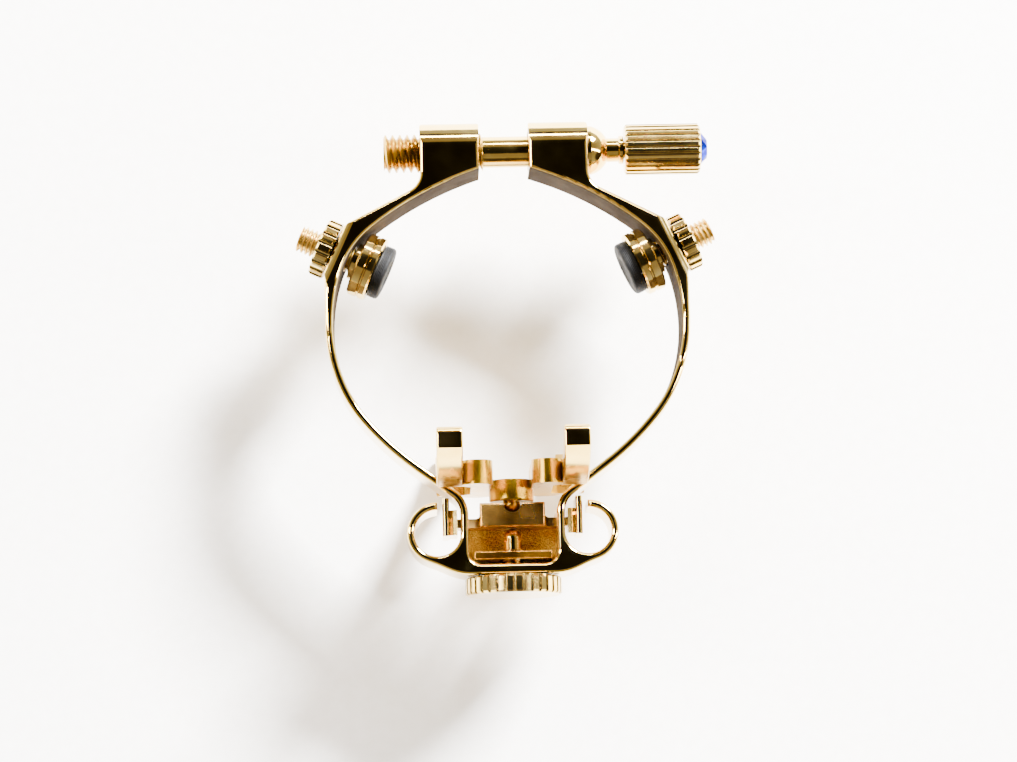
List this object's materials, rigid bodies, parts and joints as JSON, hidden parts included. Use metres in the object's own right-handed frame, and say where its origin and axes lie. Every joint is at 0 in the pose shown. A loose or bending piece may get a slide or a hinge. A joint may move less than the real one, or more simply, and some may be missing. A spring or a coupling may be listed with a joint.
{
  "type": "saxophone ligature",
  "caption": "Split ring ligature for a saxophone mouthpiece, with a clamp screw across the top, padded side screws and a thumb-screw reed cradle in a bottom cage.",
  "frame": {"origin": "on the mouthpiece axis at the band's rear face", "axes": "+Z along the mouthpiece axis towards its tip, +Y towards the clamp screw, -Y towards the reed, +X towards the clamp knob"},
  "size_m": [0.0405, 0.0459, 0.024],
  "materials": {
    "gold_plate": "polished gold plate",
    "black_rubber": "matt",
    "blue_stone": "cut and polished"
  },
  "bodies": {
    "frame": {"ring_frame": "gold_plate", "nut_plate": "gold_plate"},
    "clamp_washer": {"thrust_washer": "gold_plate"},
    "clamp_screw_set": {"clamp_screw": "gold_plate", "clamp_knob": "gold_plate", "knob_gem": "blue_stone", "screw_collar": "gold_plate"},
    "slider_set": {"slider": "gold_plate", "left_guide_key": "gold_plate", "right_guide_key": "gold_plate"},
    "thumb_screw": {"thumb_wheel": "gold_plate", "thumb_spindle": "gold_plate"},
    "cradle": {"reed_cradle": "gold_plate", "pivot_post": "gold_plate"},
    "left_pad": {"left_pad_cup": "gold_plate", "left_rubber_pad": "black_rubber", "left_spacer": "gold_plate"},
    "right_pad": {"right_pad_cup": "gold_plate", "right_rubber_pad": "black_rubber", "right_spacer": "gold_plate"},
    "left_stud_screw": {"left_stud": "gold_plate"},
    "right_stud_screw": {"right_stud": "gold_plate"},
    "left_nut": {"left_locknut": "gold_plate"},
    "right_nut": {"right_locknut": "gold_plate"}
  },
  "joints": [
    {"name": "clamp_travel", "type": "slide", "parent": "frame", "child": "clamp_washer", "axis": [1, 0, 0], "range_m": [0, 0.003]},
    {"name": "clamp_turn", "type": "hinge", "parent": "clamp_washer", "child": "clamp_screw_set", "pos_m": [0.015, 0.01712, 0.003], "axis": [1, 0, 0], "range_deg": [0, 1545]},
    {"name": "slider_travel", "type": "slide", "parent": "frame", "child": "slider_set", "axis": [0, 1, 0], "range_m": [-0.0008, 0]},
    {"name": "thumb_turn", "type": "hinge", "parent": "slider_set", "child": "thumb_screw", "pos_m": [0, -0.0243, 0.003], "axis": [0, 1, 0], "range_deg": [-642, 0]},
    {"name": "cradle_rock", "type": "hinge", "parent": "slider_set", "child": "cradle", "pos_m": [0, -0.0173, 0.003], "axis": [1, 0, 0], "range_deg": [-4, 4]},
    {"name": "left_pad_travel", "type": "slide", "parent": "frame", "child": "left_pad", "axis": [0.91, -0.4147, 0], "range_m": [0, 0.0015]},
    {"name": "left_stud_turn", "type": "hinge", "parent": "left_pad", "child": "left_stud_screw", "pos_m": [-0.01638, 0.00746, 0.003], "axis": [0.91, -0.4147, 0], "range_deg": [0, 1202]},
    {"name": "right_pad_travel", "type": "slide", "parent": "frame", "child": "right_pad", "axis": [-0.91, -0.4147, 0], "range_m": [0, 0.0015]},
    {"name": "right_stud_turn", "type": "hinge", "parent": "right_pad", "child": "right_stud_screw", "pos_m": [0.01638, 0.00746, 0.003], "axis": [-0.91, -0.4147, 0], "range_deg": [0, 1202]},
    {"name": "left_nut_turn", "type": "hinge", "parent": "frame", "child": "left_nut", "pos_m": [-0.01729, 0.00788, 0.003], "axis": [-0.91, 0.4147, 0], "range_deg": [0, 180]},
    {"name": "right_nut_turn", "type": "hinge", "parent": "frame", "child": "right_nut", "pos_m": [0.01729, 0.00788, 0.003], "axis": [0.91, 0.4147, 0], "range_deg": [0, 180]}
  ],
  "couplings": [
    {"joint": "clamp_turn", "follows": "clamp_travel", "rad_per_m": 8976},
    {"joint": "thumb_turn", "follows": "slider_travel", "rad_per_m": 13963},
    {"joint": "left_stud_turn", "follows": "left_pad_travel", "rad_per_m": 13963},
    {"joint": "right_stud_turn", "follows": "right_pad_travel", "rad_per_m": 13963}
  ]
}
